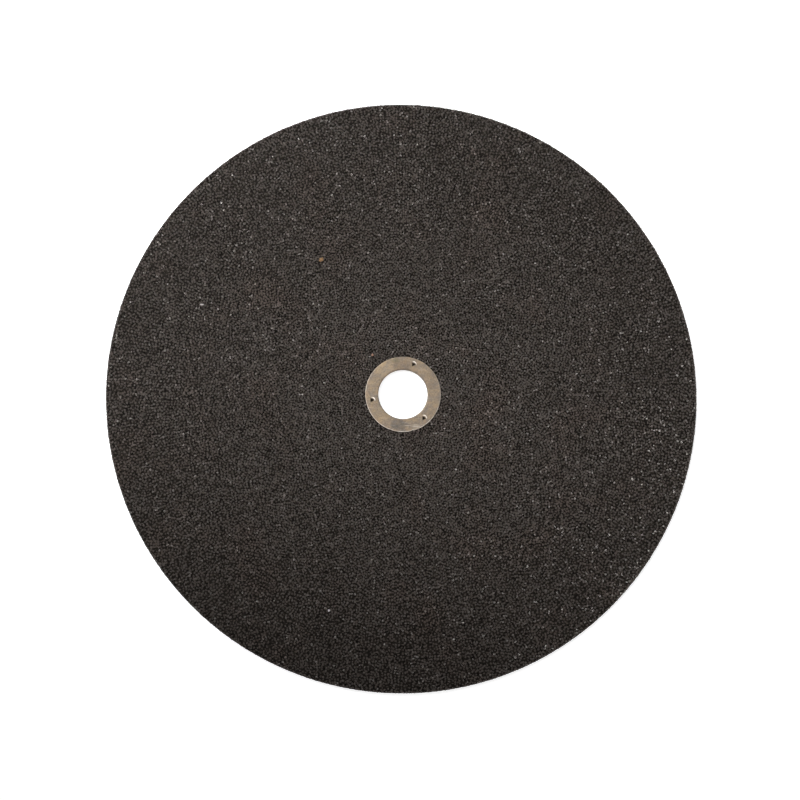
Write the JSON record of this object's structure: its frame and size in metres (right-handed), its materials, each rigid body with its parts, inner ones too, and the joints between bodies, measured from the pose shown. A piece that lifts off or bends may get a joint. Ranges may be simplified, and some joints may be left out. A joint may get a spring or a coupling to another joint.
{
  "type": "cut-off wheel",
  "caption": "Flat black abrasive disc for a chop saw or cut-off machine, with a pressed-steel ring staked into its arbor bore.",
  "frame": {"origin": "centre of the arbor bore at the disc's lower face, which is the middle of the part's base", "axes": "+Z along the arbor's axis, out of the face that carries the ring; +X and +Y across the wheel, with the first punched point 71 degrees from +X towards +Y"},
  "size_m": [0.305, 0.305, 0.0034],
  "materials": {
    "abrasive": "coarse gritty black resin bond",
    "ring_steel": "dull warm grey sheet steel with light wear"
  },
  "bodies": {
    "root": {"abrasive_disc": "abrasive", "centre_ring": "ring_steel"}
  },
  "joints": []
}
